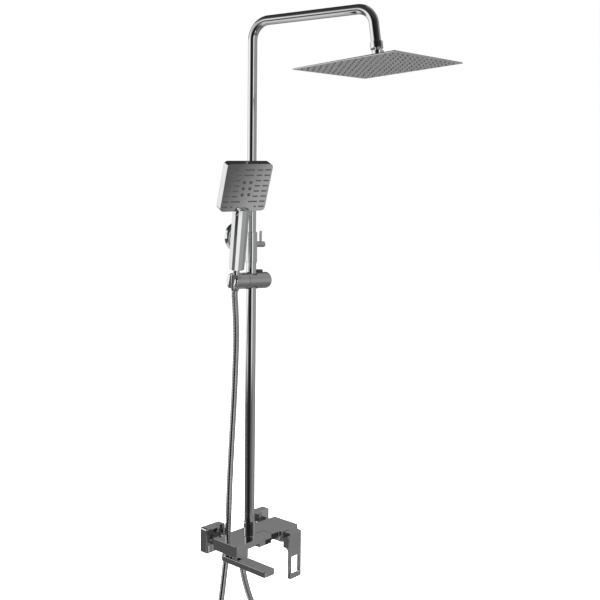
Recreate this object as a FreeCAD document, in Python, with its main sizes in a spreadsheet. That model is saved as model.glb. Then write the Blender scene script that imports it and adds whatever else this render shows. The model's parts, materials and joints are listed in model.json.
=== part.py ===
"""Rainfall shower column: wall mixer, telescopic riser, swinging arm with a square rain head, and a hand shower
on a sliding holder, joined to the mixer by a metal hose.

Frame: millimetres. The origin is midway between the two wall inlets, on the wall's face. +X is to the right as one
faces the wall, +Y goes into the wall and +Z is up, so a distance "out" from the wall is along -Y.
"""
import FreeCAD, Part
import math
import os
from types import SimpleNamespace

import Sketcher

Vector = FreeCAD.Vector
Rotation = FreeCAD.Rotation

UP = Vector(0, 0, 1)
DOWN = Vector(0, 0, -1)
RIGHT = Vector(1, 0, 0)
OUT = Vector(0, -1, 0)
IN = Vector(0, 1, 0)

# ---------------------------------------------------------------- driving dimensions
DIMENSIONS = {
    # wall inlets, 150 mm apart with half-inch tails
    "inlet_spacing": 150,
    "tail_radius": 10.48,
    "tail_reach": 14,
    "inlet_bore": 6.5,
    "union_flange_radius": 12.8,
    "union_nut_flats": 30,
    "union_nut_inner": 13.5,
    "spigot_radius": 13.2,
    "spigot_reach": 9,
    "escutcheon_width": 60,
    "escutcheon_depth": 20,
    "escutcheon_corner": 4.5,
    "escutcheon_wall": 2,
    # mixer body: a shelf on a rail, with a left cheek and a right cartridge housing
    "body_width": 206,
    "body_back": 42,
    "body_front": 122,
    "body_top": 14,
    "body_bottom": -12.5,
    "shelf_thickness": 12.5,
    "rail_front": 100,
    "cheek_width": 25,
    "housing_left": 39,
    "housing_width": 43,
    "housing_front": 128,
    "corner_round": 3,
    # cartridge and lever
    "cartridge_x": 60.5,
    "cartridge_radius": 9.9,
    "lever_pivot_out": 122,
    "lever_back": 131,
    "lever_front": 154,
    "lever_width": 39,
    "lever_bottom": -96,
    "lever_plate": 8,
    "lever_hub_bottom": -24,
    "lever_window_width": 26.5,
    "lever_window_top": -42.5,
    "lever_window_bottom": -86,
    # diverter key on the shelf
    "key_left": -14,
    "key_width": 27,
    "key_back": 92,
    "key_thickness": 9,
    "key_gap": 0.9,
    # spout
    "spout_x": -88,
    "spout_pivot_out": 81,
    "spout_width": 33,
    "spout_front": 214,
    "spout_top": -17,
    "spout_bottom": -30,
    "spindle_radius": 8.5,
    "aerator_radius": 9.9,
    "aerator_out": 197,
    # riser
    "riser_out": 57,
    "lower_radius": 12.5,
    "lower_inner": 11.6,
    "lower_end": 690,
    "upper_radius": 11,
    "upper_inner": 9.5,
    "upper_start": 470,
    "joint_height": 1046,
    "base_nut_radius": 14,
    "base_nut_height": 17,
    # wall bracket
    "sleeve_radius": 14,
    "sleeve_low": 656,
    "sleeve_high": 728,
    "bracket_height": 716,
    "flange_radius": 34.5,
    "flange_depth": 13,
    "lock_height": 699,
    "lock_radius": 7,
    # shower arm
    "arm_swing": 10.5,
    "arm_droop": 2.2,
    "arm_height": 1224.5,
    "arm_reach": 315,
    "arm_drop_lean": 8,
    "arm_bend": 42,
    "ball_reach": 330.23,
    "ball_height": 1104,
    "ball_radius": 9,
    # rain head
    "head_width": 264,
    "head_sheet": 0.8,
    "head_thickness": 2.8,
    "head_below_ball": 18,
    "head_corner": 2.5,
    "head_yaw": 1.6,
    "head_side_tilt": -4.8,
    "head_nozzle_pitch": 17.9,
    "head_nozzle_radius": 2.1,
    # slider and handset holder
    "slider_height": 612.5,
    "barrel_radius": 19.5,
    "barrel_left": 65,
    "barrel_right": 55,
    "barrel_seam": -20.7,
    "bush_radius": 15.5,
    # hand shower
    "socket_x": -53,
    "socket_out": 58,
    "socket_height": 595,
    "handset_yaw": 14,
    "handset_tilt": 14.5,
    "handset_roll": 3.5,
    "cone_low": -4,
    "cone_high": 36,
    "cone_low_radius": 9.2,
    "cone_high_radius": 12,
    "handle_low": 48,
    "handle_low_width": 33.5,
    "handle_high_width": 35.5,
    "face_height": 188,
    "face_lead": 6,
    "face_bend": 12,
    "face_width": 115,
    "face_thickness": 23,
    "face_corner": 9,
    # hose
    "hose_radius": 7.5,
    "outlet_x": -44,
    "outlet_out": 80,
}

HEAD_ROWS = 14
RUNNING_FIT = 0.05
RIM_SLOPE = 20.0
SMALL_ROUND = 0.8


class Size:
    """A number together with the sheet expression that gives it."""

    def __init__(self, value, text):
        self.value = value
        self.text = text

    def _joined(self, other, sign, value):
        return Size(value, f"({self.text} {sign} {as_size(other).text})")

    def __add__(self, other):
        return self._joined(other, "+", self.value + as_size(other).value)

    def __sub__(self, other):
        return self._joined(other, "-", self.value - as_size(other).value)

    def __mul__(self, other):
        return self._joined(other, "*", self.value * as_size(other).value)

    def __truediv__(self, other):
        return self._joined(other, "/", self.value / as_size(other).value)

    def __radd__(self, other):
        return as_size(other) + self

    def __rsub__(self, other):
        return as_size(other) - self

    def __rmul__(self, other):
        return as_size(other) * self

    def __neg__(self):
        return 0 - self


def as_size(number):
    return number if isinstance(number, Size) else Size(number, f"({float(number):.6f})")


doc = FreeCAD.newDocument("shower_column")
sheet = doc.addObject("Spreadsheet::Sheet", "dims")
for row, (alias, value) in enumerate(DIMENSIONS.items(), start=1):
    sheet.set(f"A{row}", alias)
    sheet.set(f"B{row}", str(value))
    sheet.setAlias(f"B{row}", alias)
doc.recompute()
d = SimpleNamespace(**{alias: Size(value, f"dims.{alias}") for alias, value in DIMENSIONS.items()})
SUBPARTS = []


# ---------------------------------------------------------------- helpers
def bind(feature, **sizes):
    for name, size in sizes.items():
        feature.setExpression(name, as_size(size).text)


def place(feature, base, turn=None):
    """Puts a feature at a bound base point, with a fixed rotation."""
    feature.Placement = FreeCAD.Placement(Vector(), turn or Rotation())
    for axis, size in zip("xyz", base):
        feature.setExpression(f"Placement.Base.{axis}", as_size(size).text)


def box(low, size):
    made = doc.addObject("Part::Box", "block")
    bind(made, Length=size[0], Width=size[1], Height=size[2])
    place(made, low)
    return made


def rod(start, direction, radius, length):
    made = doc.addObject("Part::Cylinder", "rod")
    bind(made, Radius=radius, Height=length)
    place(made, start, Rotation(UP, direction))
    return made


def cone(start, direction, first, second, length):
    made = doc.addObject("Part::Cone", "cone")
    bind(made, Radius1=first, Radius2=second, Height=length)
    place(made, start, Rotation(UP, direction))
    return made


def ball(centre, radius):
    made = doc.addObject("Part::Sphere", "ball")
    bind(made, Radius=radius)
    place(made, centre)
    return made


def hexagon(start, direction, flats, length, turn=0.0):
    """A six-sided prism; a turn of 0 or 30 degrees puts its corners or flats first."""
    made = doc.addObject("Part::Prism", "hexagon")
    made.Polygon = 6
    bind(made, Circumradius=as_size(flats) / math.sqrt(3), Height=length)
    place(made, start, Rotation(UP, direction).multiply(Rotation(UP, turn)))
    return made


def fuse(*solids):
    made = doc.addObject("Part::MultiFuse", "joined")
    made.Shapes = list(solids)
    made.Refine = True
    return made


def cut(base, *tools):
    made = doc.addObject("Part::Cut", "cut")
    made.Base = base
    made.Tool = tools[0] if len(tools) == 1 else fuse(*tools)
    return made


def common(first, second):
    made = doc.addObject("Part::MultiCommon", "shared")
    made.Shapes = [first, second]
    return made


def group(*solids):
    made = doc.addObject("Part::Compound", "group")
    made.Links = list(solids)
    return made


def tube(start, direction, outer, inner, length):
    return cut(rod(start, direction, outer, length), rod(start, direction, inner, length))


def rounded(feature, radius, wanted):
    """Rounds the edges that the test picks from the feature's shape."""
    doc.recompute()
    picked = [(i, radius, radius) for i, edge in enumerate(feature.Shape.Edges, start=1) if wanted(edge)]
    made = doc.addObject("Part::Fillet", "rounded")
    made.Base = feature
    made.Edges = picked
    return made


def runs_along(edge, axis):
    """True if the edge is a straight line along the axis."""
    if not isinstance(edge.Curve, Part.Line):
        return False
    return abs(edge.tangentAt(edge.FirstParameter).dot(axis)) > 0.999


def edge_middle(edge):
    return edge.valueAt((edge.FirstParameter + edge.LastParameter) / 2)


def stand(feature, placement, start):
    """Stands a primitive in a placement's own frame, with its base point at the given start there."""
    for axis in "xyz":
        feature.setExpression(f"Placement.Base.{axis}", None)
    feature.Placement = placement.multiply(FreeCAD.Placement(start, Rotation()))


def subpart(name, feature):
    """Registers a finished sub-part under its node name."""
    feature.Label = name
    SUBPARTS.append(feature)
    return feature


def tilted(name, feature, placement):
    """Registers a sub-part that was modelled upright and stands at a placement of its own."""
    feature.Placement = placement
    return subpart(name, feature)


def new_body(name, plane, points, offset=None):
    """A PartDesign body with one closed outline of bound points, on one of its origin planes."""
    body = doc.addObject("PartDesign::Body", name)
    sketch = body.newObject("Sketcher::SketchObject", "outline")
    sketch.AttachmentSupport = [(next(o for o in body.Origin.OriginFeatures if o.Role == plane), "")]
    sketch.MapMode = "FlatFace"
    if offset is not None:
        sketch.setExpression("AttachmentOffset.Base.z", as_size(offset).text)
    draw_outline(sketch, points)
    return body, sketch


def draw_outline(sketch, points):
    """Draws a closed outline whose corners are held by dimensions from the origin."""
    corners = [(as_size(x), as_size(y)) for x, y in points]
    for i, (x, y) in enumerate(corners):
        next_x, next_y = corners[(i + 1) % len(corners)]
        start = Vector(x.value, y.value, 0)
        sketch.addGeometry(Part.LineSegment(start, Vector(next_x.value, next_y.value, 0)), False)
    for i in range(len(corners)):
        sketch.addConstraint(Sketcher.Constraint("Coincident", i, 2, (i + 1) % len(corners), 1))
    for i, corner in enumerate(corners):
        for kind, line, size in (("DistanceX", -2, corner[0]), ("DistanceY", -1, corner[1])):
            if abs(size.value) < 1e-9:
                sketch.addConstraint(Sketcher.Constraint("PointOnObject", i, 1, line))
                continue
            held = sketch.addConstraint(Sketcher.Constraint(kind, -1, 1, i, 1, size.value))
            sketch.setExpression(f"Constraints[{held}]", size.text)


def pad(body, sketch, length):
    made = body.newObject("PartDesign::Pad", "pad")
    made.Profile = sketch
    bind(made, Length=length)
    return made


def round_body(body, radius, wanted):
    """Rounds the wanted edges of a body's last feature."""
    doc.recompute()
    tip = body.Tip
    picked = [f"Edge{i}" for i, edge in enumerate(tip.Shape.Edges, start=1) if wanted(edge)]
    made = body.newObject("PartDesign::Fillet", "rounded")
    made.Base = (tip, picked)
    made.Radius = radius
    return made


def revolve(body, sketch, axis_name="V_Axis"):
    made = body.newObject("PartDesign::Revolution", "turned")
    made.Profile = sketch
    made.ReferenceAxis = (sketch, [axis_name])
    made.Angle = 360.0
    return made


def turned(name, base, points, direction=UP):
    """A turned piece: a half profile of (radius, height) points, revolved about its axis, as a body."""
    body, sketch = new_body(name, "XZ_Plane", points)
    revolve(body, sketch)
    place(body, base, Rotation(UP, direction))
    return body


# ---------------------------------------------------------------- wall inlets
def wall_inlets():
    """The unions, nuts, washers and square escutcheons of the two wall inlets."""
    spigot_end = d.body_back - d.spigot_reach
    washer = 1.5
    flange = 4
    washers = []
    for side, sign in (("left", -1), ("right", 1)):
        x = sign * d.inlet_spacing / 2
        flange_out = spigot_end - washer - flange
        tail = rod((x, d.tail_reach, 0), OUT, d.tail_radius, d.tail_reach + flange_out)
        collar = rod((x, -flange_out, 0), OUT, d.union_flange_radius, flange)
        bore = rod((x, d.tail_reach + 1, 0), OUT, d.inlet_bore, d.tail_reach + spigot_end)
        subpart(f"inlet_union_{side}", cut(fuse(tail, collar), bore))
        washers.append(tube((x, -(spigot_end - washer), 0), OUT, 12, 7, washer))

        nut_back = flange_out - 3.5
        nut_length = d.body_back - nut_back - 1
        nut = hexagon((x, -nut_back, 0), OUT, d.union_nut_flats, nut_length, 30)
        throat = rod((x, -nut_back, 0), OUT, d.tail_radius + 0.4, nut_length)
        thread = rod((x, -flange_out, 0), OUT, d.union_nut_inner, nut_length)
        subpart(f"union_nut_{side}", cut(nut, throat, thread))
        escutcheon(side, x)
    subpart("union_washers", group(*washers))


def escutcheon(side, x):
    """A square cover plate with rounded corners, open towards the wall."""
    half = d.escutcheon_width / 2
    inner = half - d.escutcheon_wall
    outer_block = box((x - half, -d.escutcheon_depth, -half), (2 * half, d.escutcheon_depth, 2 * half))
    corners = rounded(outer_block, d.escutcheon_corner.value, lambda e: runs_along(e, IN))
    front = -d.escutcheon_depth.value
    eased = rounded(corners, 1.2, lambda e: abs(edge_middle(e).y - front) < 0.01)
    depth = d.escutcheon_depth - d.escutcheon_wall
    hollow = rounded(
        box((x - inner, -depth, -inner), (2 * inner, depth, 2 * inner)),
        d.escutcheon_corner.value - d.escutcheon_wall.value,
        lambda e: runs_along(e, IN),
    )
    hole = rod((x, 0, 0), OUT, d.tail_radius + 0.6, d.escutcheon_depth)
    subpart(f"escutcheon_{side}", cut(eased, hollow, hole))


# ---------------------------------------------------------------- mixer
def mixer_body():
    """The cast body: shelf, rail, left cheek and cartridge housing, drilled for its waterways."""
    half = d.body_width / 2
    depth = d.body_front - d.body_back
    height = d.body_top - d.body_bottom
    shelf_low = d.body_top - d.shelf_thickness

    def eased(block):
        upright = rounded(block, d.corner_round.value, lambda e: runs_along(e, UP))
        return rounded(upright, SMALL_ROUND, lambda e: not runs_along(e, UP))

    shelf = eased(box((-half, -d.body_front, shelf_low), (d.body_width, depth, d.shelf_thickness)))
    cheek = eased(box((-half, -d.body_front, d.body_bottom), (d.cheek_width, depth, height)))
    rail_depth = d.rail_front - d.body_back
    rail = box((-half + 4, -d.rail_front, d.body_bottom), (d.body_width - 4, rail_depth, height - 6))
    housing_depth = d.housing_front - d.body_back - 20
    housing = eased(
        box((d.housing_left, -d.housing_front, d.body_bottom), (d.housing_width, housing_depth, height - 1))
    )
    diverter_block = box((-20, -112, d.body_bottom), (40, 30, height - 8))
    spigots = [
        rod((sign * d.inlet_spacing / 2, -d.body_back - 2, 0), IN, d.spigot_radius, d.spigot_reach + 2)
        for sign in (-1, 1)
    ]
    threaded_stub = rod((0, -d.riser_out, d.body_top - 2), UP, d.lower_inner - 0.2, 24)
    glide_boss = rod((d.spout_x, -d.spout_pivot_out, d.spout_top + 0.3), UP, 12.5, 6)
    cast = fuse(shelf, cheek, rail, housing, diverter_block, threaded_stub, glide_boss, *spigots)

    spigot_end = -(d.body_back - d.spigot_reach)
    left, right = -d.inlet_spacing / 2, d.inlet_spacing / 2
    chamber_depth = 36.5
    main_out, main_height = 80, 4.5
    drillings = [
        rod((left, spigot_end, 0), OUT, 7, 24),
        rod((right, spigot_end, 0), OUT, 7, 34),
        rod((left, -53, -4), RIGHT, 3.5, 130),
        rod((55, -53, -4), OUT, 3, 40),
        rod((66, -64, -4), RIGHT, 3, 8),
        rod((66, -64, -4), OUT, 3, 30),
        rod((d.cartridge_x, -d.housing_front, 0), IN, d.cartridge_radius + 0.3, chamber_depth),
        rod((d.cartridge_x, -93, 5), IN, 3, 14),
        rod((d.spout_x, -main_out, main_height), RIGHT, 4, d.cartridge_x - d.spout_x),
        rod((0, -d.riser_out, 0), UP, 7, 40),
        rod((0, -d.riser_out, main_height), OUT, 4, 24),
        rod((d.outlet_x, -d.outlet_out, d.body_bottom), UP, 7, 16),
        rod((d.spout_x, -d.spout_pivot_out, d.spout_top), UP, d.spindle_radius + RUNNING_FIT, 23.5),
        rod((0, -96, -2), UP, 4.9, 12),
        rod((0, -96, -9), UP, 3.7, 12),
        rod((0, -96, -3), IN, 2.5, 16),
        rod((0, -80, -3), UP, 2.5, 8),
    ]
    gap = d.key_gap
    key_pocket = box(
        (d.key_left - gap, -d.body_front - 1, shelf_low),
        (d.key_width + 2 * gap, d.body_front + 1 - d.key_back + gap, d.shelf_thickness + 1),
    )
    subpart("mixer_body", cut(cast, *drillings, key_pocket))


def diverter():
    """The square press key, flush with the shelf, on its spindle and return spring."""
    key_low = d.body_top - d.key_thickness
    depth = d.body_front - d.key_back
    block = box((d.key_left, -d.body_front, key_low), (d.key_width, depth, d.key_thickness))
    subpart("diverter_key", rounded(block, 0.5, lambda e: edge_middle(e).z > d.body_top.value - 1))
    stem = rod((0, -96, key_low), DOWN, 2, 11)
    valve = rod((0, -96, key_low - 8), DOWN, 3.4, 2.5)
    subpart("diverter_spindle", fuse(stem, valve))
    subpart("diverter_spring", tube((0, -96, -2), UP, 4.6, 3.2, key_low + 2))


def cartridge():
    """The ceramic cartridge: shell, seal, two discs, rotor, lever stem and the nut that holds it in."""
    x = d.cartridge_x
    pivot = d.lever_pivot_out
    shell_back = 93.5
    shell_length = 28
    seal = tube((x, -91.6, 0), OUT, 9.4, 7.4, 1.8)
    subpart("cartridge_seal", seal)
    shell = cut(
        rod((x, -shell_back, 0), OUT, d.cartridge_radius, shell_length),
        rod((x, -(shell_back + 1.5), 0), OUT, 8.3, shell_length),
        rod((x - 4.5, -shell_back, -3), OUT, 1.6, 2),
        rod((x + 4.5, -shell_back, -3), OUT, 1.6, 2),
        rod((x, -shell_back, 5), OUT, 1.6, 2),
    )
    subpart("cartridge_shell", shell)
    ports = [rod((x + dx, -95, dz), OUT, 1.4, 3) for dx, dz in ((-4.5, -3), (4.5, -3), (0, 5))]
    subpart("ceramic_disc_fixed", cut(rod((x, -95, 0), OUT, 8.2, 3), *ports))
    moving = cut(rod((x, -98.05, 0), OUT, 7.2, 3), rod((x, -98.05, 0), OUT, 3.6, 1.2))
    subpart("ceramic_disc_moving", moving)

    rotor = rod((x, -101.1, 0), OUT, 7.9, 25.6)
    socket = ball((x, -pivot, 0), 3.5 + RUNNING_FIT)
    front_slot = box((x - 3, -127, -3), (6, 5, 8))
    rear_slot = box((x - 2.3, -122, -6), (4.6, 14, 8.3))
    subpart("cartridge_rotor", cut(rotor, socket, front_slot, rear_slot))
    stem = fuse(
        ball((x, -pivot, 0), 3.5),
        rod((x, -(pivot - 12), 0), OUT, 1.7, 12),
        rod((x, -pivot, 0), OUT, 2.5, 20),
    )
    subpart("lever_stem", stem)
    subpart("cartridge_nut", tube((x, -122, 0), OUT, 10.1, 8.3, 5.9))


def lever():
    """The hanging lever: a deep hub on the cartridge stem and a plate with a tall window."""
    top, back, front = d.body_top, d.lever_back, d.lever_front
    plate_back = front - d.lever_plate
    hub_low = d.lever_hub_bottom
    left = d.cartridge_x - d.lever_width / 2
    outline = [
        (-front, top),
        (-back - 2.5, top),
        (-back, top - 2.5),
        (-back, hub_low),
        (-plate_back, hub_low),
        (-plate_back, d.lever_bottom),
        (-front, d.lever_bottom),
    ]
    body, sketch = new_body("lever_blank", "YZ_Plane", outline, left)
    pad(body, sketch, d.lever_width)
    round_body(body, 8, lambda e: runs_along(e, RIGHT) and inner_corner(edge_middle(e)))

    window = body.newObject("Sketcher::SketchObject", "window_outline")
    window.AttachmentSupport = [(next(o for o in body.Origin.OriginFeatures if o.Role == "XZ_Plane"), "")]
    window.MapMode = "FlatFace"
    win_left = d.cartridge_x - d.lever_window_width / 2
    win_right = d.cartridge_x + d.lever_window_width / 2
    low, high = d.lever_window_bottom, d.lever_window_top
    draw_outline(window, [(win_left, low), (win_right, low), (win_right, high), (win_left, high)])
    pocket = body.newObject("PartDesign::Pocket", "window")
    pocket.Profile = window
    pocket.Midplane = True
    pocket.Length = 400
    round_body(body, 2.5, lambda e: runs_along(e, IN) and edge_middle(e).z < high.value + 1)
    round_body(body, SMALL_ROUND, lambda e: all(abs(v.Y + front.value) < 0.01 for v in e.Vertexes))
    stem_hole = rod((d.cartridge_x, -back, 0), OUT, 2.55, 12)
    screw_hole = rod((d.cartridge_x, -138, -30), UP, 2.05, 30)
    subpart("lever_handle", cut(body, stem_hole, screw_hole))
    subpart("lever_set_screw", rod((d.cartridge_x, -138, -20), UP, 2, 17.4))


def inner_corner(point):
    return abs(point.y + 146) < 0.1 and abs(point.z - d.lever_hub_bottom.value) < 0.1


# ---------------------------------------------------------------- spout
def spout():
    """The swivelling spout: a flat bar with a round heel, on a hollow spindle, with an aerator below its tip."""
    x, pivot = d.spout_x, -d.spout_pivot_out
    half = d.spout_width / 2
    height = d.spout_top - d.spout_bottom
    bar = box((x - half, -d.spout_front, d.spout_bottom), (2 * half, d.spout_front - d.spout_pivot_out, height))
    front = -d.spout_front.value
    tipped = rounded(bar, 4, lambda e: runs_along(e, UP) and abs(edge_middle(e).y - front) < 0.01)
    heel = rod((x, pivot, d.spout_bottom), UP, half, height)
    blank = rounded(fuse(tipped, heel), SMALL_ROUND, lambda e: not runs_along(e, UP))
    middle = d.spout_bottom + 6
    aerator_seat = 8
    tip_length = d.aerator_out - d.spout_pivot_out
    spindle = cut(
        rod((x, pivot, d.spout_top - 2), UP, d.spindle_radius, 24),
        tube((x, pivot, -8), UP, d.spindle_radius + 1, 7, 2.4),
        tube((x, pivot, -2), UP, d.spindle_radius + 1, 7, 2.4),
    )
    hollow = [
        rod((x, pivot, middle), OUT, 4, tip_length),
        rod((x, -d.aerator_out, d.spout_bottom), UP, d.aerator_radius + 0.1, aerator_seat),
        rod((x, pivot, middle), UP, 5, 40),
    ]
    subpart("spout", cut(fuse(blank, spindle), *hollow))
    seals = [tube((x, pivot, z), UP, d.spindle_radius, 7.05, 2.2) for z in (-7.9, -1.9)]
    subpart("spout_seals", group(*seals))
    shell = tube((x, -d.aerator_out, d.spout_bottom + 0.4), UP, d.aerator_radius, 8.4, 7.2)
    grille = cut(
        rod((x, -d.aerator_out, d.spout_bottom + 1.2), UP, 8.4, 1.4),
        *[
            rod((x + 2.6 * i, -d.aerator_out + 2.6 * j, d.spout_bottom + 1), UP, 0.9, 2)
            for i in range(-2, 3)
            for j in range(-2, 3)
            if i * i + j * j < 8
        ],
    )
    subpart("aerator", fuse(shell, grille))


# ---------------------------------------------------------------- riser, bracket and arm
def riser():
    """The two telescopic tubes, the adapter and nut at the mixer, and the guide ring between them."""
    out = -d.riser_out
    nut_end = d.base_nut_height - 2
    nut = turned(
        "riser_base_nut",
        (0, out, d.body_top),
        [
            (d.lower_radius + 0.1, 0),
            (d.base_nut_radius, 0),
            (d.base_nut_radius, nut_end),
            (d.base_nut_radius - 1, d.base_nut_height),
            (d.lower_radius + 0.1, d.base_nut_height),
        ],
    )
    subpart("riser_base_nut", nut)
    lower_start = d.body_top + 3
    subpart(
        "riser_lower_tube",
        tube((0, out, lower_start), UP, d.lower_radius, d.lower_inner, d.lower_end - lower_start),
    )
    guide_low = d.upper_start + 5
    groove = tube((0, out, guide_low), UP, d.upper_radius + 1, 10.4, 8.2)
    upper = tube((0, out, d.upper_start), UP, d.upper_radius, d.upper_inner, d.joint_height - d.upper_start)
    subpart("riser_upper_tube", cut(upper, groove))
    ring = tube((0, out, guide_low + 0.1), UP, d.lower_inner - RUNNING_FIT, 10.45, 8)
    subpart("telescope_guide_ring", ring)


def bracket():
    """The wall bracket: sleeve round the riser, arm, wall plate with its screws, and the domed cover flange."""
    out, z = -d.riser_out, d.bracket_height
    lower_part = d.lower_end - d.sleeve_low
    upper_part = d.sleeve_high - d.lower_end
    sleeve = rounded(
        rod((0, out, d.sleeve_low), UP, d.sleeve_radius, d.sleeve_high - d.sleeve_low), 0.8, lambda e: True
    )
    boss = rod((11.5, out, d.lock_height), RIGHT, d.lock_radius, 12.5)
    neck = rod((0, out + 8, z), IN, 8, 8)
    sleeve_cut = cut(
        fuse(sleeve, boss, neck),
        rod((0, out, d.sleeve_low), UP, d.lower_radius + RUNNING_FIT, lower_part),
        rod((0, out, d.lower_end), UP, d.upper_radius + RUNNING_FIT, upper_part),
        rod((0, out, d.lock_height), RIGHT, 3.05, 40),
    )
    subpart("bracket_sleeve", sleeve_cut)
    arm_length = d.riser_out - 16 - 9
    subpart("bracket_arm", rod((0, out + 16, z), IN, 7, arm_length))
    plate = cut(
        fuse(rod((0, 0, z), OUT, 24, 3), rod((0, 0, z), OUT, 9.5, 9)),
        rod((0, 0, z - 17), OUT, 2.3, 3),
        rod((0, 0, z + 17), OUT, 2.3, 3),
    )
    subpart("wall_plate", plate)
    screws = [
        fuse(rod((0, 14, height), OUT, 2.2, 17), rod((0, -3, height), OUT, 4.2, 2.4)) for height in (z - 17, z + 17)
    ]
    subpart("wall_screws", group(*screws))
    dome = rounded(
        rod((0, 0, z), OUT, d.flange_radius, d.flange_depth),
        6.0,
        lambda e: abs(edge_middle(e).y + d.flange_depth.value) < 0.1 and not isinstance(e.Curve, Part.Line),
    )
    hollow = rod((0, 0, z), OUT, d.flange_radius - 2, 6.4)
    inner = rod((0, 0, z), OUT, 12, 10.5)
    subpart("wall_flange", cut(dome, hollow, inner, rod((0, 0, z), OUT, 7.3, d.flange_depth)))


def lock_screw():
    """The clamp screw on the bracket's right side, turned by its upright pin."""
    out, z = -d.riser_out, d.lock_height
    knob = rounded(rod((24.4, out, z), RIGHT, d.lock_radius, 18), 2.5, lambda e: edge_middle(e).x > 42)
    shank = rod((11.4, out, z), RIGHT, 3, 14)
    subpart("lock_screw", cut(fuse(knob, shank), rod((31, out, z), UP, 3.3, 10)))
    pin = rounded(rod((31, out, z + 1), UP, 3.25, 31), 0.8, lambda e: edge_middle(e).z > z.value + 31)
    subpart("lock_pin", pin)


def arm_path(start_height):
    """The arm's centreline in its own vertical plane, as (reach, height) runs with rounded bends."""
    droop = math.radians(d.arm_droop.value)
    lean = math.radians(d.arm_drop_lean.value)
    elbow = Vector(0, 0, d.arm_height.value)
    reach = d.arm_reach.value
    corner = Vector(reach, 0, elbow.z - reach * math.tan(droop))
    drop = corner.z - (d.ball_height.value + 34)
    end = Vector(reach + drop * math.tan(lean), 0, corner.z - drop)
    return rounded_wire([Vector(0, 0, start_height), elbow, corner, end], [d.arm_bend.value] * 2)


def rounded_wire(points, radii):
    """Straight runs joined by tangent arcs of the given radii, as one wire."""
    edges = []
    start = points[0]
    for before, point, after, radius in zip(points, points[1:], points[2:], radii):
        first = (before - point).normalize()
        second = (after - point).normalize()
        half_turn = (math.pi - first.getAngle(second)) / 2
        reach = radius * math.tan(half_turn)
        arc_start = point + first * reach
        arc_end = point + second * reach
        inward = (first + second).normalize()
        centre = point + inward * (radius / math.cos(half_turn))
        edges.append(Part.LineSegment(start, arc_start).toShape())
        edges.append(Part.Arc(arc_start, centre - inward * radius, arc_end).toShape())
        start = arc_end
    edges.append(Part.LineSegment(start, points[-1]).toShape())
    return Part.Wire(edges)


def swept(wire, radius):
    """A round bar of the given radius along a wire."""
    start = wire.Edges[0].valueAt(wire.Edges[0].FirstParameter)
    direction = wire.Edges[0].tangentAt(wire.Edges[0].FirstParameter)
    ring = Part.Wire(Part.Circle(start, direction, radius).toShape())
    return wire.makePipeShell([ring], True, True)


def shower_arm():
    """The bent arm tube and its swivel joint on top of the riser."""
    joint = d.joint_height
    out = -d.riser_out
    wire = arm_path(joint.value + 0.3)
    arm = doc.addObject("Part::Feature", "arm_tube")
    arm.Shape = swept(wire, d.upper_radius.value).cut(swept(wire, d.upper_inner.value))
    swing = Rotation(UP, -90 + d.arm_swing.value)
    arm.Placement = FreeCAD.Placement(Vector(0, out.value, 0), swing)
    subpart("shower_arm", arm)
    spigot = cut(
        rod((0, out, joint - 22), UP, d.upper_inner - RUNNING_FIT, 44),
        rod((0, out, joint - 22), UP, 6.5, 44),
        tube((0, out, joint + 4), UP, 12, 7.9, 2.4),
        tube((0, out, joint + 17), UP, 12, 7.9, 2.4),
    )
    subpart("arm_spigot", spigot)
    rings = [tube((0, out, joint + z), UP, d.upper_inner - RUNNING_FIT, 7.95, 2.2) for z in (4.1, 17.1)]
    subpart("arm_joint_seals", group(*rings))


def in_arm_plane(reach, height):
    """A point of the arm's vertical plane, at a reach from the riser's axis."""
    swing = math.radians(d.arm_swing.value)
    return Vector(reach * math.sin(swing), -d.riser_out.value - reach * math.cos(swing), height)


def drop_direction():
    """The unit vector along the arm's drop tube, pointing up it."""
    lean = math.radians(d.arm_drop_lean.value)
    return (in_arm_plane(-math.tan(lean), 1) - in_arm_plane(0, 0)).normalize()


def ball_point():
    return in_arm_plane(d.ball_reach.value, d.ball_height.value)


def ball_joint():
    """The ball stud screwed into the arm's end, and the ring nut round it, upright about the ball's centre."""
    placement = FreeCAD.Placement(ball_point(), Rotation(UP, drop_direction()))
    stud = fuse(ball((0, 0, 0), d.ball_radius), rod((0, 0, 6), UP, 5.6, 14), rod((0, 0, 20), UP, 9.4, 26))
    tilted("ball_stud", cut(stud, rod((0, 0, -10), UP, 3.5, 60)), placement)
    nut = cut(rod((0, 0, 18.6), UP, 14, 15), rod((0, 0, 20), UP, 11.05, 20), rod((0, 0, 18), UP, 9.6, 4))
    smooth = rounded(nut, 0.8, lambda e: e.Length > 80)
    tilted("arm_ring_nut", smooth, placement)


def head_placement():
    turn = Rotation(UP, d.head_yaw.value).multiply(Rotation(Vector(0, 1, 0), d.head_side_tilt.value))
    return FreeCAD.Placement(ball_point(), turn)


def head_grid():
    """The nozzle places, as (x, y) in the head's own frame."""
    middle = (HEAD_ROWS - 1) / 2
    steps = [(i - middle) * d.head_nozzle_pitch.value for i in range(HEAD_ROWS)]
    return [(x, y) for x in steps for y in steps]


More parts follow.
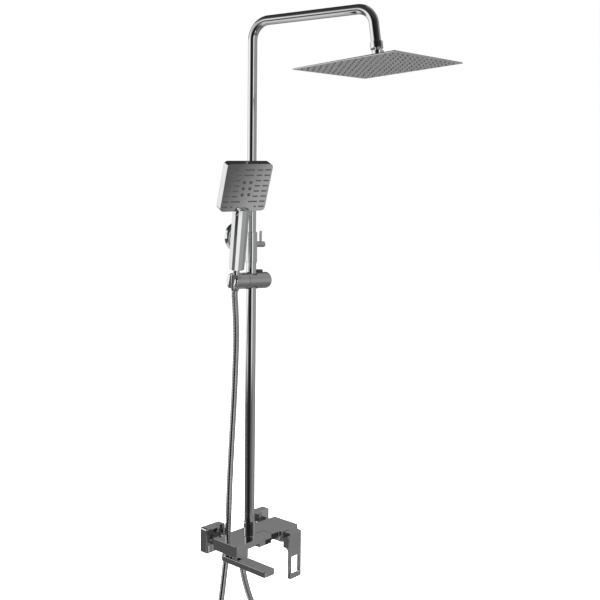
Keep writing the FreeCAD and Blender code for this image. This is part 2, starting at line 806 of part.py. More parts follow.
def rain_head():
    """The thin square head: socket, spherical seal, cover, nozzle mat and face, upright about the ball's centre."""
    placement = head_placement()
    plate_top = -d.head_below_ball + d.head_thickness / 2
    plate_low = plate_top - d.head_thickness
    half = d.head_width / 2
    seat = d.ball_radius + RUNNING_FIT
    body = fuse(cone((0, 0, plate_top), UP, 17, 13, 15), rod((0, 0, plate_top + 15), UP, 13, 14 - plate_top - 15))
    opening = cone((0, 0, 2), UP, 7.8, 12, 13)
    lower = common(ball((0, 0, 0), seat + 1), rod((0, 0, -15), UP, 20, 13))
    socket = cut(body, ball((0, 0, 0), seat), lower, opening, rod((0, 0, plate_top), UP, 5.5, 12))
    tilted("head_socket", socket, placement)
    shell = cut(ball((0, 0, 0), seat + 0.9), ball((0, 0, 0), seat))
    tilted("ball_seal", common(shell, rod((0, 0, -7.4), UP, 20, 3.4)), placement)

    sheet_t = d.head_sheet
    rim = half - 0.8
    corners = [(-rim, -rim), (rim, -rim), (rim, rim), (-rim, rim)]
    blank, outline = new_body("cover_blank", "XY_Plane", corners, plate_low + sheet_t)
    pad(blank, outline, d.head_thickness - sheet_t).TaperAngle = -RIM_SLOPE
    room = half - 4
    hollow = box((-room, -room, plate_low), (2 * room, 2 * room, d.head_thickness - sheet_t))
    tilted("rain_head_cover", cut(blank, hollow, rod((0, 0, plate_low), UP, 5.5, 4)), placement)

    nub = d.head_nozzle_radius.value
    low = plate_low.value
    holes = Part.makeCompound(
        [Part.makeCylinder(nub + 0.05, 3, Vector(x, y, low - 1)) for x, y in head_grid()]
    )
    face = doc.addObject("Part::Feature", "head_face")
    blank = Part.makeBox(2 * half.value, 2 * half.value, sheet_t.value, Vector(-half.value, -half.value, low))
    corners = [e for e in blank.Edges if runs_along(e, UP)]
    face.Shape = blank.makeFillet(d.head_corner.value, corners).cut(holes)
    tilted("rain_head_face", face, placement)

    mat = doc.addObject("Part::Feature", "nozzle_mat")
    inner = room.value - 1
    sheet_low = low + sheet_t.value + 0.02
    web = Part.makeBox(2 * inner, 2 * inner, 0.5, Vector(-inner, -inner, sheet_low))
    nubs = [Part.makeCone(nub * 0.7, nub, 3, Vector(x, y, low - 2)) for x, y in head_grid()]
    mat.Shape = web.fuse(nubs)
    tilted("rain_nozzle_mat", mat, placement)


# ---------------------------------------------------------------- slider and holder
def slider():
    """The barrel on the riser: black bush, right half with its brake, and the tilting left half that holds the
    hand shower."""
    out, z = -d.riser_out, d.slider_height
    radius = d.barrel_radius
    bush = common(
        tube((0, out, z - 30), UP, d.bush_radius, d.lower_radius + RUNNING_FIT, 60),
        rod((-30, out, z), RIGHT, radius + 0.9, 60),
    )
    subpart("slider_bush", bush)

    right_length = d.barrel_right - d.barrel_seam
    right_half = rounded(
        rod((d.barrel_seam, out, z), RIGHT, radius + 0.5, right_length),
        8,
        lambda e: edge_middle(e).x > d.barrel_right.value - 0.1 and not isinstance(e.Curve, Part.Line),
    )
    tab_left, tab_length, tab_width = 17, 17, 10
    tab_low, tab_height = z + radius - 5, 11.5
    gap = 0.35
    pocket = box(
        (tab_left - gap, out - tab_width / 2 - gap, tab_low - 2), (tab_length + 2 * gap, tab_width + 2 * gap, 12)
    )
    hollow = [
        rod((0, out, z - 30), UP, d.bush_radius + RUNNING_FIT, 60),
        rod((12, out, z), RIGHT, 6.6, 40),
        rod((tab_left + tab_length / 2, out, z), UP, 2.6, 14),
        rod((d.barrel_seam, out, z), RIGHT, 4, 8),
    ]
    subpart("slider_body", cut(right_half, pocket, *hollow))
    tab = rounded(
        box((tab_left, out - tab_width / 2, tab_low), (tab_length, tab_width, tab_height)),
        1.2,
        lambda e: edge_middle(e).z > tab_low.value + tab_height - 0.5,
    )
    peg = rod((tab_left + tab_length / 2, out, tab_low), DOWN, 2.2, 6.5)
    subpart("brake_button", fuse(tab, peg))
    shoe = cut(rod((15, out, z), RIGHT, 6.3, 9), rod((0, out, z - 10), UP, d.bush_radius + 0.12, 20))
    subpart("brake_shoe", shoe)
    subpart("brake_spring", tube((24.1, out, z), RIGHT, 6, 4.6, 27.8))

    left_length = d.barrel_left + d.barrel_seam - 0.4
    left_half = rounded(
        rod((-d.barrel_left, out, z), RIGHT, radius, left_length),
        5,
        lambda e: edge_middle(e).x < -d.barrel_left.value + 0.1 and not isinstance(e.Curve, Part.Line),
    )
    seam = d.barrel_seam - 0.4
    pivot_end = -41.5
    placement = handset_placement()
    below, above = 1, 5
    taper = (d.cone_high_radius - d.cone_low_radius) / (d.cone_high - d.cone_low)
    cavity = cone(
        (0, 0, 0),
        UP,
        d.cone_low_radius + 0.3 - taper * below,
        d.cone_high_radius + 0.3 + taper * above,
        d.cone_high - d.cone_low + below + above,
    )
    stand(cavity, placement, Vector(0, 0, d.cone_low.value - below))
    slot_width = 2 * d.hose_radius.value + 2
    slot = box((0, 0, 0), (24, slot_width, 60))
    stand(slot, placement, Vector(-24, -slot_width / 2, -10))
    holder = cut(
        left_half,
        cavity,
        slot,
        rod((pivot_end, out, z), RIGHT, 5 + RUNNING_FIT, seam - pivot_end),
        rod((-46, out, z), RIGHT, 7.4, 4.5),
    )
    subpart("handset_holder", holder)
    shouldered = fuse(
        rod((-43.9, out, z), RIGHT, 6.6, 2.3),
        rod((pivot_end - 0.5, out, z), RIGHT, 5, d.barrel_seam - pivot_end + 0.5),
        rod((d.barrel_seam - 0.5, out, z), RIGHT, 3.95, 4.5),
    )
    subpart("holder_pivot_screw", shouldered)


# ---------------------------------------------------------------- hand shower
def handset_placement():
    """Stands the hand shower in its holder: turned, leaning forward and a little sideways."""
    turn = Rotation(UP, -d.handset_yaw.value)
    turn = turn.multiply(Rotation(Vector(1, 0, 0), d.handset_tilt.value))
    turn = turn.multiply(Rotation(Vector(0, -1, 0), d.handset_roll.value))
    return FreeCAD.Placement(Vector(d.socket_x.value, -d.socket_out.value, d.socket_height.value), turn)


def face_placement():
    """The face's own frame: its bottom edge's middle, +X across, +Z up the face and -Y out of it."""
    bend = Rotation(Vector(1, 0, 0), d.face_bend.value)
    lead = bend.multVec(Vector(0, -d.face_lead.value, 0))
    return FreeCAD.Placement(Vector(0, 0, d.face_height.value) + lead, bend)


def handle_section(height, width):
    """A closed twelve-sided section: four flats joined by two facets round each corner."""
    half = width / 2
    flat, shoulder = 0.3 * half, (0.77 * half, 0.8 * half)
    corner = [(flat, half), shoulder, (half, 0.46 * half)]
    quarter = [Vector(x, y, height) for x, y in corner]
    right = quarter + [Vector(p.x, -p.y, height) for p in reversed(quarter)]
    left = [Vector(-p.x, p.y, height) for p in reversed(right)]
    return Part.makePolygon(right + left + right[:1])


def handle_solid():
    """The tapering eight-sided handle, its long edges and lower rim eased."""
    low, high = d.handle_low.value, d.face_height.value + 2
    sections = [handle_section(low, d.handle_low_width.value), handle_section(high, d.handle_high_width.value)]
    handle = Part.makeLoft(sections, True, True)
    long_edges = [e for e in handle.Edges if e.BoundBox.ZLength > 50]
    handle = handle.makeFillet(1.5, long_edges)
    return handle.makeFillet(0.8, [e for e in handle.Edges if e.BoundBox.ZMax < low + 0.01])


def handle_crown():
    """The round-topped lip by which the handle overlaps the face's lower edge, in the face's own frame."""
    radius, drop, proud = 23, 15.5, 9
    crown = Part.makeCylinder(radius, proud + 6, Vector(0, -proud, -drop), Vector(0, 1, 0))
    crown = crown.makeFillet(3.5, [e for e in crown.Edges if e.BoundBox.YMax < -proud + 0.01])
    keep = Part.makeBox(60, 60, 30, Vector(-30, -30, -6))
    return crown.common(keep)


def handset():
    """The hand shower: shell with its faceted handle, square face, nozzles and threaded inlet."""
    upright = handset_placement()
    face = face_placement()
    width, thick = d.face_width.value, d.face_thickness.value
    wall = 2.2
    slab = Part.makeBox(width, thick, width, Vector(-width / 2, 0, 0))
    slab = slab.makeFillet(d.face_corner.value, [e for e in slab.Edges if runs_along(e, IN)])
    slab = slab.makeFillet(5, [e for e in slab.Edges if abs(edge_middle(e).y - thick) < 0.01])
    room = Part.makeBox(width - 2 * wall, thick - wall, width - 2 * wall, Vector(-width / 2 + wall, -1, wall))
    room = room.makeFillet(d.face_corner.value - wall, [e for e in room.Edges if runs_along(e, IN)])
    crown = handle_crown()
    for shape in (slab, room, crown):
        shape.Placement = face.multiply(shape.Placement)
    inlet_low = 22.2
    inlet = Part.makeCylinder(8, d.handle_low.value + 4 - inlet_low, Vector(0, 0, inlet_low))
    waterway = Part.makeCylinder(4.6, d.face_height.value + 6 - inlet_low, Vector(0, 0, inlet_low))
    shell = doc.addObject("Part::Feature", "handset_shell_blank")
    shell.Shape = slab.fuse([handle_solid(), crown, inlet]).cut(room).cut(waterway)
    tilted("handset_shell", shell, upright)
    handset_face(upright.multiply(face), width, wall)

    nut = cut(
        cone((0, 0, d.cone_low), UP, d.cone_low_radius, d.cone_high_radius, d.cone_high - d.cone_low),
        rod((0, 0, d.cone_low), UP, 4.6, 60),
        rod((0, 0, 20), UP, 8.1, 30),
    )
    tilted("hose_cone_nut", rounded(nut, 0.6, lambda e: edge_middle(e).z > 35.9 and e.Length > 55), upright)
    tilted("handset_washer", tube((0, 0, 20.1), UP, 7.9, 4.8, 2), upright)


def handset_face(placement, width, wall):
    """The face plate with rows of dash nozzles and six round massage nozzles."""
    thick = 3
    fit = 0.05
    dash_height, jet_radius = 3, 4
    side = width - 2 * wall - 0.3
    low = wall + 0.15
    plate = Part.makeBox(side, thick, side, Vector(-side / 2, 0, low))
    plate = plate.makeFillet(d.face_corner.value - wall - 0.15, [e for e in plate.Edges if runs_along(e, IN)])
    dashes, dots = face_layout(width)
    openings = []
    rubber = []
    for x, z, length in dashes:
        corner = Vector(x - length / 2, -1, z - dash_height / 2)
        openings.append(Part.makeBox(length, thick + 2, dash_height, corner))
        inset = Vector(fit, 0.3, fit)
        rubber.append(Part.makeBox(length - 2 * fit, thick + 0.7, dash_height - 2 * fit, corner + inset))
    jets = []
    for x, z in dots:
        openings.append(Part.makeCylinder(jet_radius + fit, thick + 2, Vector(x, -1, z), IN))
        jet = Part.makeCone(jet_radius - 1, jet_radius, 1.5, Vector(x, -1.5, z), IN)
        jet = jet.fuse(Part.makeCylinder(jet_radius, thick, Vector(x, 0, z), IN))
        jets.append(jet.cut(Part.makeCylinder(1.3, 10, Vector(x, -2, z), IN)))
    for name, shape in (
        ("handset_face", plate.cut(Part.makeCompound(openings))),
        ("handset_nozzles", Part.makeCompound(rubber + jets)),
    ):
        feature = doc.addObject("Part::Feature", "face_piece")
        feature.Shape = shape
        tilted(name, feature, placement)


def face_layout(width):
    """The face's dashes as (x, z, length) and its round jets as (x, z), from its bottom edge."""
    top_row, pitch = width - 14.5, 12.8
    rows = [top_row - pitch * k for k in range(8)]
    outer, inner, short = 46.5, 26.5, 13.5
    dashes = [(sign * outer, z, short) for z in rows for sign in (-1, 1)]
    dashes += [(sign * inner, z, short) for z in rows[:6] for sign in (-1, 1)]
    dashes += [(0, z, 24) for z in rows[:2]]
    dashes += [(sign * 22, rows[6], 22) for sign in (-1, 1)]
    dashes += [(sign * 30, rows[7], 5) for sign in (-1, 1)]
    dots = [(sign * 8.5, rows[2] - 4.5 - 15 * k) for k in range(3) for sign in (-1, 1)]
    return dashes, dots


# ---------------------------------------------------------------- hose
# The hose's route from the hand shower's cone nut down behind the mixer, round its loop and up to the outlet.
HOSE_ROUTE = [
    (-46.6, -51.0, 530.0),
    (-46.0, -51.4, 480.0),
    (-45.6, -50.8, 412.0),
    (-45.4, -48.4, 340.0),
    (-46.2, -44.2, 268.0),
    (-46.4, -39.0, 192.0),
    (-45.6, -33.6, 116.0),
    (-47.0, -30.6, 40.0),
    (-52.4, -30.2, -34.0),
    (-61.0, -30.6, -104.0),
    (-69.5, -31.6, -163.9),
    (-80.0, -33.2, -217.3),
    (-91.5, -35.4, -264.9),
    (-100.0, -38.4, -310.7),
    (-99.5, -42.2, -352.7),
    (-84.0, -47.0, -388.9),
    (-54.0, -52.6, -413.7),
    (-14.0, -59.0, -420.4),
    (23.0, -65.4, -406.1),
    (47.0, -71.0, -375.5),
    (53.5, -75.4, -337.4),
    (48.0, -78.6, -297.4),
    (34.0, -80.4, -255.4),
    (15.5, -81.2, -215.3),
    (-2.5, -81.2, -179.1),
    (-20.5, -80.7, -139.1),
    (-34.5, -80.3, -100.0),
]


def hose():
    """The hose as straight runs and tangent arcs, with the outlet, nut and washer at its lower end."""
    start = handset_placement().multVec(Vector(0, 0, d.cone_low.value))
    below = handset_placement().multVec(Vector(0, 0, d.cone_low.value - 26))
    end = Vector(d.outlet_x.value, -d.outlet_out.value, -36)
    points = [start, below] + [Vector(*point) for point in HOSE_ROUTE] + [end + DOWN * 28, end]
    lengths = [(b - a).Length for a, b in zip(points, points[1:])]
    radii = []
    for i in range(1, len(points) - 1):
        turn = (points[i] - points[i - 1]).getAngle(points[i + 1] - points[i])
        radii.append(0.45 * min(lengths[i - 1], lengths[i]) / math.tan(turn / 2))
    wire = rounded_wire(points, radii)
    bar = swept(wire, d.hose_radius.value)
    expected = math.pi * d.hose_radius.value ** 2 * wire.Length
    print("hose runs", [round(length) for length in lengths])
    print("hose radii", [round(radius) for radius in radii])
    print("hose length", round(wire.Length, 1), "volume ratio", round(bar.Volume / expected, 5))
    made = doc.addObject("Part::Feature", "hose_bar")
    made.Shape = bar
    subpart("shower_hose", made)

    x, y = d.outlet_x, -d.outlet_out
    outlet = cut(
        fuse(rod((x, y, d.body_bottom - 10), UP, 10.2, 10), rod((x, y, d.body_bottom), UP, 6.9, 9)),
        rod((x, y, d.body_bottom - 10), UP, 5, 30),
    )
    subpart("hose_outlet", outlet)
    nut = hexagon((x, y, -36), UP, 24, 21.5, 0)
    subpart("hose_hex_nut", cut(nut, rod((x, y, -36), UP, 5, 5), rod((x, y, -33), UP, 10.4, 25)))
    subpart("hose_washer", tube((x, y, -24.7), UP, 9.4, 5.4, 2))


# ---------------------------------------------------------------- build, check and export
def build():
    wall_inlets()
    mixer_body()
    diverter()
    cartridge()
    lever()
    spout()
    riser()
    bracket()
    lock_screw()
    shower_arm()
    ball_joint()
    rain_head()
    slider()
    handset()
    hose()
    doc.recompute()


def check():
    broken = [o.Label for o in doc.Objects if {"Invalid", "Error"} & set(o.State)]
    if broken:
        raise RuntimeError(f"features failed: {broken}")
    for feature in SUBPARTS:
        if feature.Shape.isNull() or not feature.Shape.isValid():
            raise RuntimeError(f"{feature.Label} has no valid shape")
        if not feature.Shape.Solids:
            raise RuntimeError(f"{feature.Label} has no solid")


def export():
    os.makedirs("parts", exist_ok=True)
    for feature in SUBPARTS:
        feature.Shape.exportStep(f"parts/{feature.Label}.step")
    print(len(SUBPARTS), "sub-parts written")


build()
check()
export()
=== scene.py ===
import json
import math

import bpy
from mathutils import Matrix, Vector


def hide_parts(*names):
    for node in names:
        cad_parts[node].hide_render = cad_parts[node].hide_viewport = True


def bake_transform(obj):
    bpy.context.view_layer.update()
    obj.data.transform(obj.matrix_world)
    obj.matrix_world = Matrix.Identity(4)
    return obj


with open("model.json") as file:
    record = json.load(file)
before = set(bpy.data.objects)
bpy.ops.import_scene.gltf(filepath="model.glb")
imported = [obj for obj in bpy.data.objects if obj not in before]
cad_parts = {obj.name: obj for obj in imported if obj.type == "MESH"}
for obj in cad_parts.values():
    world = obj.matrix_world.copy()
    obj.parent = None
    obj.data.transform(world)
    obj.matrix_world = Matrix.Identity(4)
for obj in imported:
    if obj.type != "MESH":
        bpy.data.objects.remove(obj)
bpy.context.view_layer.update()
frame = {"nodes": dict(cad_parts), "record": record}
nodes = frame["nodes"]


def new_object(name, data):
    made = bpy.data.objects.new(name, data)
    bpy.context.scene.collection.objects.link(made)
    return made


# ---------------------------------------------------------------- camera
CAMERA_PLACE = (-1.322, -1.424, 0.709)
CAMERA_ANGLES = (0.8300, 0.0297, 0.0089)  # bearing from +Y towards +X, downward pitch and roll, in radians
LENS = 47.72
SENSOR_WIDTH = 36
SHIFT_Y = -0.06


def make_camera():
    azimuth, pitch, roll = CAMERA_ANGLES
    forward = Vector((math.sin(azimuth) * math.cos(pitch), math.cos(azimuth) * math.cos(pitch), -math.sin(pitch)))
    right = forward.cross(Vector((0, 0, 1))).normalized()
    up = right.cross(forward).normalized()
    turned_right = right * math.cos(roll) + up * math.sin(roll)
    turned_up = up * math.cos(roll) - right * math.sin(roll)
    axes = Matrix((turned_right, turned_up, -forward)).transposed().to_4x4()
    data = bpy.data.cameras.new("camera")
    data.sensor_width = SENSOR_WIDTH
    data.lens = LENS
    data.shift_y = SHIFT_Y
    data.clip_end = 100
    camera = new_object("camera", data)
    camera.matrix_world = Matrix.Translation(CAMERA_PLACE) @ axes
    bpy.context.scene.camera = camera


make_camera()


# ---------------------------------------------------------------- meshes
def mesh_object(name, verts, faces):
    mesh = bpy.data.meshes.new(name)
    mesh.from_pydata(verts, [], faces)
    mesh.validate()
    for polygon in mesh.polygons:
        polygon.use_smooth = True
    return new_object(name, mesh)


def grid_faces(rings, sides):
    """Quads between successive rings of the same number of sides."""
    faces = []
    for i in range(rings - 1):
        for j in range(sides):
            k = (j + 1) % sides
            faces.append((i * sides + j, i * sides + k, (i + 1) * sides + k, (i + 1) * sides + j))
    return faces


# ---------------------------------------------------------------- hose
# The route from the conical nut down to the outlet, in metres.
HOSE_ROUTE = [
    (-0.05252, -0.05709, 0.59113),
    (-0.05109, -0.05437, 0.57960),
    (-0.0478, -0.0528, 0.5640),
    (-0.0405, -0.0480, 0.5300),
    (-0.0340, -0.0430, 0.4800),
    (-0.0300, -0.0366, 0.4120),
    (-0.0286, -0.0316, 0.3400),
    (-0.0314, -0.0296, 0.2680),
    (-0.0364, -0.0296, 0.1920),
    (-0.0408, -0.0298, 0.1160),
    (-0.0438, -0.0306, 0.0400),
    (-0.0480, -0.0302, -0.0340),
    (-0.0584, -0.0306, -0.1040),
    (-0.0695, -0.0316, -0.1639),
    (-0.0800, -0.0332, -0.2173),
    (-0.0915, -0.0354, -0.2649),
    (-0.1000, -0.0384, -0.3107),
    (-0.0995, -0.0422, -0.3527),
    (-0.0840, -0.0470, -0.3889),
    (-0.0540, -0.0526, -0.4137),
    (-0.0140, -0.0590, -0.4204),
    (0.0230, -0.0654, -0.4061),
    (0.0470, -0.0710, -0.3755),
    (0.0535, -0.0754, -0.3374),
    (0.0480, -0.0786, -0.2974),
    (0.0340, -0.0804, -0.2554),
    (0.0155, -0.0812, -0.2153),
    (-0.0025, -0.0812, -0.1791),
    (-0.0205, -0.0807, -0.1391),
    (-0.0345, -0.0803, -0.1000),
    (-0.0440, -0.0800, -0.0640),
    (-0.0440, -0.0800, -0.0360),
]
HOSE_RADIUS = 0.0075
HOSE_SIDES = 20
HOSE_RESOLUTION = 96
RIB_PITCH = 0.0036
GROOVE_DEPTH = 0.0004
GROOVE_HALF_WIDTH = 0.2  # of the pitch

# Stretches of the hose from the hand shower downwards: the upper body, the lower body, and the length between them.
SHORT_STRETCH = 0.094
LONG_STRETCH = 1.220
HOSE_STRETCHES = [
    ("handset", "holder", SHORT_STRETCH),
    ("holder", "slider", SHORT_STRETCH),
    ("slider", "slide_bush", SHORT_STRETCH),
    ("slide_bush", "fixed_column", LONG_STRETCH),
]


def hose_line():
    """The route as a smooth NURBS line, read back as points."""
    curve = bpy.data.curves.new("hose_line", "CURVE")
    curve.dimensions = "3D"
    curve.resolution_u = HOSE_RESOLUTION
    spline = curve.splines.new("NURBS")
    spline.points.add(len(HOSE_ROUTE) - 1)
    for point, place in zip(spline.points, HOSE_ROUTE):
        point.co = (*place, 1)
    spline.order_u = 3
    spline.use_endpoint_u = True
    holder = new_object("hose_line", curve)
    bpy.context.view_layer.update()
    mesh = bpy.data.meshes.new_from_object(holder.evaluated_get(bpy.context.evaluated_depsgraph_get()))
    points = [v.co.copy() for v in mesh.vertices]
    bpy.data.meshes.remove(mesh)
    bpy.data.objects.remove(holder)
    return points


def hose_rings(points):
    """A ring of vertices at each point, with a helical groove whose pitch doesn't depend on the points' spacing."""
    rings = []
    run = 0.0
    side = None
    for i, point in enumerate(points):
        run += (point - points[i - 1]).length if i else 0
        tangent = (points[min(i + 1, len(points) - 1)] - points[max(i - 1, 0)]).normalized()
        side = side or tangent.orthogonal().normalized()
        side = (side - tangent * side.dot(tangent)).normalized()
        other = tangent.cross(side)
        ring = []
        for j in range(HOSE_SIDES):
            angle = 2 * math.pi * j / HOSE_SIDES
            phase = (run / RIB_PITCH + j / HOSE_SIDES) % 1.0
            groove = max(0.0, 1 - abs(phase - 0.5) / GROOVE_HALF_WIDTH)
            radius = HOSE_RADIUS - GROOVE_DEPTH * groove
            ring.append(point + (side * math.cos(angle) + other * math.sin(angle)) * radius)
        rings.append(ring)
    return rings


def split_at(points, length):
    """The index of the first point that is at least a length along the line."""
    run = 0.0
    for i in range(1, len(points)):
        run += (points[i] - points[i - 1]).length
        if run >= length:
            return i
    return len(points) - 1


def make_hose():
    """The hose as stretches that share their end rings, one for each joint between the mixer and the hand shower."""
    points = hose_line()
    rings = hose_rings(points)
    made = []
    first = 0
    for upper, lower, length in HOSE_STRETCHES:
        last = first + split_at(points[first:], length)
        if lower == "fixed_column":
            last = len(points) - 1
        path = points[first:last + 1]
        verts = [vert for ring in rings[first:last + 1] for vert in ring]
        stretch = mesh_object(f"hose_{lower}", verts, grid_faces(len(path), HOSE_SIDES))
        if lower == "fixed_column":
            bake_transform(stretch)
        else:
            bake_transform(stretch)
        made.append(stretch)
        first = last
    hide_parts("shower_hose")
    return made


hose = make_hose()


# ---------------------------------------------------------------- studio
# What the chrome reflects: rings round the object, each a list of bearings in degrees, from +Y towards +X, with the
# grey that is seen there. LEVEL_RING is at eye level.
LEVEL_RING = (
    (0, 0.64), (20, 0.45), (47, 0.26), (84, 0.27), (120, 0.27), (150, 0.30), (179, 0.27), (187, 0.42),
    (194, 0.90), (203, 0.88), (210, 0.25), (217, 0.05), (228, 0.012), (262, 0.012), (276, 0.09), (287, 0.60),
    (300, 0.90), (330, 0.90), (345, 0.85), (359, 0.66),
)
LOW_RING = (
    (0, 0.14), (47, 0.17), (84, 0.20), (120, 0.24), (150, 0.27), (177, 0.16), (200, 0.12), (215, 0.06),
    (228, 0.03), (240, 0.008), (252, 0.010), (266, 0.030), (290, 0.055), (318, 0.075), (345, 0.11), (359, 0.14),
)
DEEP_RING = (
    (0, 0.08), (47, 0.16), (84, 0.18), (130, 0.19), (150, 0.27), (162, 0.33), (182, 0.24), (192, 0.26),
    (198, 0.42), (208, 0.40), (216, 0.12), (224, 0.03), (240, 0.01), (262, 0.02), (280, 0.14), (300, 0.065),
    (318, 0.08), (345, 0.08), (359, 0.08),
)
STRIP_RING = (
    (0, 0.12), (47, 0.14), (84, 0.14), (130, 0.16), (150, 0.28), (162, 0.33), (182, 0.28), (190, 0.42),
    (197, 0.88), (213, 0.88), (219, 0.30), (226, 0.05), (262, 0.02), (280, 0.14), (318, 0.12), (359, 0.12),
)
FLOOR_RING = (
    (0, 0.50), (40, 0.30), (84, 0.13), (128, 0.14), (145, 0.46), (150, 0.38), (151.6, 0.21), (153.4, 0.10),
    (158, 0.09), (205, 0.10), (240, 0.08), (270, 0.30), (300, 0.60), (340, 0.60), (359, 0.50),
)
HIGH_RING = (
    (0, 0.03), (30, 0.16), (47, 0.20), (60, 0.24), (84, 0.26), (120, 0.26), (138, 0.20), (152, 0.04), (185, 0.03),
    (205, 0.02), (230, 0.012), (270, 0.012), (300, 0.10), (316, 0.85), (334, 0.85), (350, 0.10), (359, 0.03),
)
CROWN_RING = (
    (0, 0.03), (60, 0.03), (76, 0.20), (100, 0.25), (128, 0.24), (145, 0.05), (359, 0.03),
)
# Each ring takes over from those before it between two heights of the reflected direction.
RING_HEIGHTS = (
    (-0.13, -0.21, LOW_RING), (-0.32, -0.35, DEEP_RING), (-0.45, -0.48, STRIP_RING), (-0.54, -0.59, FLOOR_RING),
    (0.24, 0.30, HIGH_RING), (0.50, 0.60, CROWN_RING),
)
WHITE = (1.0, 1.0, 1.0, 1)

LAMP_SIZE = 5
LAMP_ENERGY = 900
LAMP_PLACE = (-0.6, -1.2, 4.2)
LAMP_TILT = (math.radians(16), math.radians(-8), 0)

FLOOR_HALF = 30
FLOOR_HEIGHT = -0.62
FLOOR_COLOUR = (0.92, 0.92, 0.92, 1)
FLOOR_GLOW = 0.35


def ring_node(tree, turn, ring):
    """The grey of a ring at a turn, where 1 is the whole circle."""
    node = tree.nodes.new("ShaderNodeValToRGB")
    node.color_ramp.interpolation = "EASE"
    elements = node.color_ramp.elements
    while len(elements) > 1:
        elements.remove(elements[-1])
    for i, (bearing, grey) in enumerate(ring):
        element = elements.new(bearing / 360) if i else elements[0]
        element.position = bearing / 360
        element.color = (grey, grey, grey, 1)
    tree.links.new(turn, node.inputs[0])
    return node.outputs[0]


def math_node(tree, operation, *inputs):
    node = tree.nodes.new("ShaderNodeMath")
    node.operation = operation
    for i, value in enumerate(inputs):
        if isinstance(value, (int, float)):
            node.inputs[i].default_value = value
        else:
            tree.links.new(value, node.inputs[i])
    return node.outputs[0]


def smooth_step(tree, value, low, high):
    node = tree.nodes.new("ShaderNodeMapRange")
    node.interpolation_type = "SMOOTHSTEP"
    tree.links.new(value, node.inputs["Value"])
    node.inputs["From Min"].default_value = low
    node.inputs["From Max"].default_value = high
    return node.outputs["Result"]


def mix_colours(tree, factor, first, second):
    node = tree.nodes.new("ShaderNodeMix")
    node.data_type = "RGBA"
    tree.links.new(factor, node.inputs["Factor"])
    for socket, value in ((node.inputs[6], first), (node.inputs[7], second)):
        if isinstance(value, tuple):
            socket.default_value = value
        else:
            tree.links.new(value, socket)
    return node.outputs[2]


def reflections(tree):
    """The colour of the rings in the direction that is looked at."""
    place = tree.nodes.new("ShaderNodeTexCoord")
    split = tree.nodes.new("ShaderNodeSeparateXYZ")
    tree.links.new(place.outputs["Generated"], split.inputs[0])
    x, y, z = split.outputs
    bearing = math_node(tree, "ARCTAN2", x, y)
    turn = math_node(tree, "FRACT", math_node(tree, "ADD", math_node(tree, "DIVIDE", bearing, 2 * math.pi), 1.0))
    seen = ring_node(tree, turn, LEVEL_RING)
    for start, end, ring in RING_HEIGHTS:
        seen = mix_colours(tree, smooth_step(tree, z, start, end), seen, ring_node(tree, turn, ring))
    return seen


def make_world():
    """A white studio whose panels and dark gaps are seen only in reflections."""
    world = bpy.data.worlds.new("studio")
    bpy.context.scene.world = world
    world.use_nodes = True
    tree = world.node_tree
    tree.nodes.clear()
    path = tree.nodes.new("ShaderNodeLightPath")
    background = tree.nodes.new("ShaderNodeBackground")
    output = tree.nodes.new("ShaderNodeOutputWorld")
    colour = mix_colours(tree, path.outputs["Is Glossy Ray"], WHITE, reflections(tree))
    tree.links.new(colour, background.inputs["Color"])
    tree.links.new(background.outputs[0], output.inputs["Surface"])
    bpy.context.scene.view_settings.view_transform = "Standard"


def make_lamp():
    light = bpy.data.lights.new("soft_top", "AREA")
    light.shape = "DISK"
    light.size = LAMP_SIZE
    light.energy = LAMP_ENERGY
    lamp = new_object("soft_top", light)
    lamp.location = LAMP_PLACE
    lamp.rotation_euler = LAMP_TILT
    lamp.visible_glossy = False


def make_floor():
    corners = [(x * FLOOR_HALF, y * FLOOR_HALF, FLOOR_HEIGHT) for x, y in ((-1, -1), (1, -1), (1, 1), (-1, 1))]
    floor = mesh_object("floor", corners, [(0, 1, 2, 3)])
    floor.visible_glossy = False
    material = bpy.data.materials.new("pale_floor")
    material.use_nodes = True
    shader = material.node_tree.nodes["Principled BSDF"]
    shader.inputs["Base Color"].default_value = FLOOR_COLOUR
    shader.inputs["Roughness"].default_value = 0.9
    shader.inputs["Emission Color"].default_value = WHITE
    shader.inputs["Emission Strength"].default_value = FLOOR_GLOW
    floor.data.materials.append(material)


make_world()
make_lamp()
make_floor()


# ---------------------------------------------------------------- materials
CLOUD_DETAIL = 5
CLOUD_RANGE = (0.3, 0.7)  # the part of the noise over which colour and roughness vary
GRAIN_DETAIL = 3
GRAIN_HEIGHT = 0.0001


def noise_node(tree, place, scale, detail):
    node = tree.nodes.new("ShaderNodeTexNoise")
    node.inputs["Scale"].default_value = scale
    node.inputs["Detail"].default_value = detail
    tree.links.new(place.outputs["Object"], node.inputs["Vector"])
    return node.outputs["Fac"]


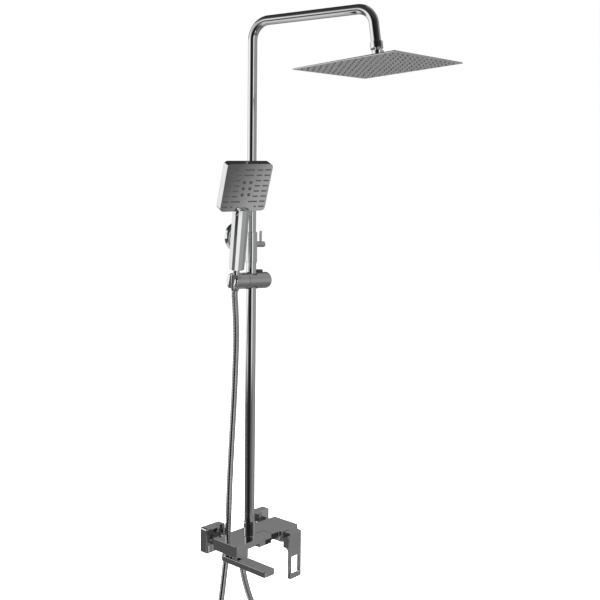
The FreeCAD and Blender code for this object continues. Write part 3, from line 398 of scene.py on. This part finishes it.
def surface(name, colour, metallic, roughness, spread, scale, bump, bump_scale):
    """A material whose colour and roughness vary finely over the surface, with a shallow relief."""
    material = bpy.data.materials.new(name)
    material.use_nodes = True
    tree = material.node_tree
    shader = tree.nodes["Principled BSDF"]
    shader.inputs["Metallic"].default_value = metallic
    place = tree.nodes.new("ShaderNodeTexCoord")

    cloud = noise_node(tree, place, scale, CLOUD_DETAIL)
    tint = tree.nodes.new("ShaderNodeValToRGB")
    for element, position, change in zip(tint.color_ramp.elements, CLOUD_RANGE, (1 - spread, 1 + spread)):
        element.position = position
        element.color = (*[min(1, c * change) for c in colour], 1)
    tree.links.new(cloud, tint.inputs[0])
    tree.links.new(tint.outputs[0], shader.inputs["Base Color"])

    rough = tree.nodes.new("ShaderNodeMapRange")
    rough.inputs["From Min"].default_value, rough.inputs["From Max"].default_value = CLOUD_RANGE
    rough.inputs["To Min"].default_value, rough.inputs["To Max"].default_value = roughness
    tree.links.new(cloud, rough.inputs["Value"])
    tree.links.new(rough.outputs["Result"], shader.inputs["Roughness"])

    relief = tree.nodes.new("ShaderNodeBump")
    relief.inputs["Strength"].default_value = bump
    relief.inputs["Distance"].default_value = GRAIN_HEIGHT
    tree.links.new(noise_node(tree, place, bump_scale, GRAIN_DETAIL), relief.inputs["Height"])
    tree.links.new(relief.outputs["Normal"], shader.inputs["Normal"])
    return material


# For each slot: colour, metallic, range of roughness, spread of colour, scale of the clouds, relief and its scale.
LOOKS = {
    "polished_chrome": ((0.93, 0.935, 0.945), 1.0, (0.02, 0.05), 0.02, 30, 0.01, 90),
    "chromed_plastic": ((0.93, 0.935, 0.945), 1.0, (0.02, 0.05), 0.02, 40, 0.01, 120),
    "hose_metal": ((0.84, 0.84, 0.85), 1.0, (0.05, 0.10), 0.03, 200, 0.04, 900),
    "seal_rubber": ((0.02, 0.02, 0.02), 0.0, (0.55, 0.7), 0.2, 400, 0.2, 2500),
    "dark_silicone": ((0.035, 0.035, 0.038), 0.0, (0.45, 0.6), 0.15, 400, 0.15, 2500),
    "cast_brass": ((0.72, 0.52, 0.24), 1.0, (0.25, 0.4), 0.08, 150, 0.1, 1200),
    "stainless_steel": ((0.66, 0.66, 0.66), 1.0, (0.22, 0.34), 0.05, 200, 0.1, 1500),
    "grey_silicone": ((0.075, 0.075, 0.078), 0.0, (0.6, 0.75), 0.15, 400, 0.15, 2500),
    "black_plastic": ((0.02, 0.02, 0.021), 0.0, (0.35, 0.5), 0.15, 300, 0.2, 2500),
    "white_plastic": ((0.80, 0.80, 0.78), 0.0, (0.35, 0.5), 0.03, 200, 0.1, 1500),
    "ceramic": ((0.86, 0.84, 0.79), 0.0, (0.12, 0.2), 0.03, 150, 0.05, 1500),
}

MATERIALS = {name: surface(name, *look) for name, look in LOOKS.items()}


def dress():
    """Gives each CAD node the material of its slot, and the rain head's nozzles a paler one of their own."""
    slots = {entry["node"]: entry["material_slot"] for entry in frame["record"]["subparts"]}
    slots["rain_nozzle_mat"] = "grey_silicone"
    for name, node in nodes.items():
        node.data.materials.clear()
        node.data.materials.append(MATERIALS[slots[name]])


dress()
for stretch in hose:
    stretch.data.materials.append(MATERIALS["hose_metal"])
